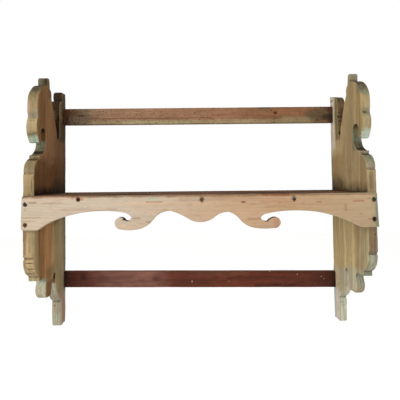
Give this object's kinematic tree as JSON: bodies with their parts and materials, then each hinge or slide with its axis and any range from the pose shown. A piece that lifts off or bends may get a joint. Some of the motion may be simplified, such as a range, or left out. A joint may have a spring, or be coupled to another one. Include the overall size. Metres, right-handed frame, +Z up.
{
  "type": "wall plate rack",
  "caption": "Wall-hung wooden plate rack: scrolled side boards, a shelf with a wavy hooked apron in front, and plain rails across the back above and below it.",
  "frame": {"origin": "middle of the shelf's rear edge, on the plane of the wall that the rack hangs on", "axes": "+Y into the wall, +X to the right as seen from the room, +Z up"},
  "size_m": [0.638, 0.164, 0.522],
  "materials": {
    "side_pine": "bare aged pine with traces of pale green limewash on the edges",
    "apron_pine": "bare sanded pine, darker wane along the top edge",
    "shelf_wood": "bare aged softwood, dark and dusty",
    "top_rail_wood": "bare aged softwood, pink-brown",
    "bottom_rail_wood": "dark red-brown hardwood, worn satin",
    "screw_steel": "dull, partly rusted",
    "hanger_steel": "zinc plated, dull"
  },
  "bodies": {
    "root": {"left_side_board": "side_pine", "right_side_board": "side_pine", "shelf_board": "shelf_wood", "front_apron": "apron_pine", "top_back_rail": "top_rail_wood", "bottom_back_rail": "bottom_rail_wood", "apron_screw_left_upper": "screw_steel", "apron_screw_left_lower": "screw_steel", "apron_screw_shelf_left": "screw_steel", "apron_screw_shelf_middle": "screw_steel", "apron_screw_shelf_right": "screw_steel", "apron_screw_right_upper": "screw_steel", "apron_screw_right_lower": "screw_steel", "shelf_screw_left_front": "screw_steel", "shelf_screw_left_rear": "screw_steel", "shelf_screw_right_front": "screw_steel", "shelf_screw_right_rear": "screw_steel", "rail_screw_top_left": "screw_steel", "rail_screw_top_right": "screw_steel", "rail_screw_bottom_left": "screw_steel", "rail_screw_bottom_right": "screw_steel", "hanger_screw_left_upper": "screw_steel", "hanger_screw_left_lower": "screw_steel", "hanger_screw_right_upper": "screw_steel", "hanger_screw_right_lower": "screw_steel", "left_hanger_plate": "hanger_steel", "right_hanger_plate": "hanger_steel"}
  },
  "joints": []
}
